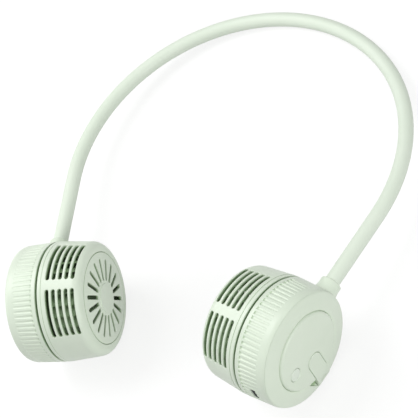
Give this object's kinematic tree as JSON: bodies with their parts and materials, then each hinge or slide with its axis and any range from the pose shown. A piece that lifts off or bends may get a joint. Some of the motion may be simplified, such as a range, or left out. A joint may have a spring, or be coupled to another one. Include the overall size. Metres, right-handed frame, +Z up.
{
  "type": "neck fan",
  "caption": "Hoop-shaped neck fan: slotted drum blower heads that turn in ribbed shells on a bendable hose, with round inlet grilles, a tongue-shaped button and a charging socket.",
  "frame": {"origin": "on the table, under the middle of the part's box", "axes": "+X from the left head to the right head as worn, +Y from the heads to the back of the hoop, +Z up from the table"},
  "size_m": [0.2094, 0.2428, 0.0669],
  "materials": {
    "mint_plastic": "satin moulded, pale mint green",
    "mint_silicone": "matte silicone sleeve, pale mint green",
    "pale_plastic": "plain moulded",
    "steel": "bright",
    "copper": "enamelled winding",
    "magnet": "sintered",
    "brass": "turned",
    "board": "solder mask",
    "cell_foil": "foil pouch",
    "cable": "insulated",
    "clear": "milky light window",
    "white_parts": "moulded",
    "black_parts": "moulded"
  },
  "bodies": {
    "hoop_frame": {"neck_hose": "mint_silicone", "core_wire": "steel", "link_cable": "cable", "right_ribbed_shell": "mint_plastic", "left_ribbed_shell": "mint_plastic", "right_outer_cover": "mint_plastic", "left_outer_cover": "mint_plastic", "right_cap_plate": "mint_plastic", "left_cap_plate": "mint_plastic", "main_board": "board", "battery_tray": "pale_plastic", "status_lens": "clear", "status_led": "white_parts", "tact_switch": "black_parts", "charging_socket": "steel", "right_hose_nipple": "brass", "right_battery_cell": "cell_foil", "right_plate_screws": "steel", "left_hose_nipple": "brass", "left_battery_cell": "cell_foil", "left_plate_screws": "steel"},
    "right_blower": {"right_blower_base": "mint_plastic", "right_front_housing": "mint_plastic", "right_inlet_cover": "mint_plastic", "right_retaining_ring": "pale_plastic", "right_ring_screws": "steel", "right_driver_board": "board", "right_stator_core": "steel", "right_stator_coils": "copper", "right_bearings": "steel"},
    "right_rotor": {"right_impeller": "pale_plastic", "right_rotor_cup": "steel", "right_magnet_ring": "magnet", "right_motor_shaft": "steel"},
    "left_blower": {"left_blower_base": "mint_plastic", "left_front_housing": "mint_plastic", "left_inlet_cover": "mint_plastic", "left_retaining_ring": "pale_plastic", "left_ring_screws": "steel", "left_driver_board": "board", "left_stator_core": "steel", "left_stator_coils": "copper", "left_bearings": "steel"},
    "left_rotor": {"left_impeller": "pale_plastic", "left_rotor_cup": "steel", "left_magnet_ring": "magnet", "left_motor_shaft": "steel"},
    "button": {"power_button": "mint_plastic"}
  },
  "joints": [
    {"name": "right_head_turn", "type": "hinge", "parent": "hoop_frame", "child": "right_blower", "pos_m": [0.06692, -0.08547, 0.03349], "axis": [0.969, -0.2445, 0.0353], "range_deg": [-90, 90]},
    {"name": "left_head_turn", "type": "hinge", "parent": "hoop_frame", "child": "left_blower", "pos_m": [-0.06692, -0.08547, 0.03349], "axis": [-0.969, -0.2445, 0.0353], "range_deg": [-90, 90]},
    {"name": "right_impeller_spin", "type": "hinge", "parent": "right_blower", "child": "right_rotor", "pos_m": [0.05374, -0.08214, 0.033], "axis": [0.969, -0.2445, 0.0353], "continuous": true},
    {"name": "left_impeller_spin", "type": "hinge", "parent": "left_blower", "child": "left_rotor", "pos_m": [-0.05374, -0.08214, 0.033], "axis": [-0.969, -0.2445, 0.0353], "continuous": true},
    {"name": "power_button_press", "type": "slide", "parent": "hoop_frame", "child": "button", "axis": [-0.969, 0.2445, -0.0353], "range_m": [0, 0.0008], "stiffness_N_per_m": 1500}
  ]
}
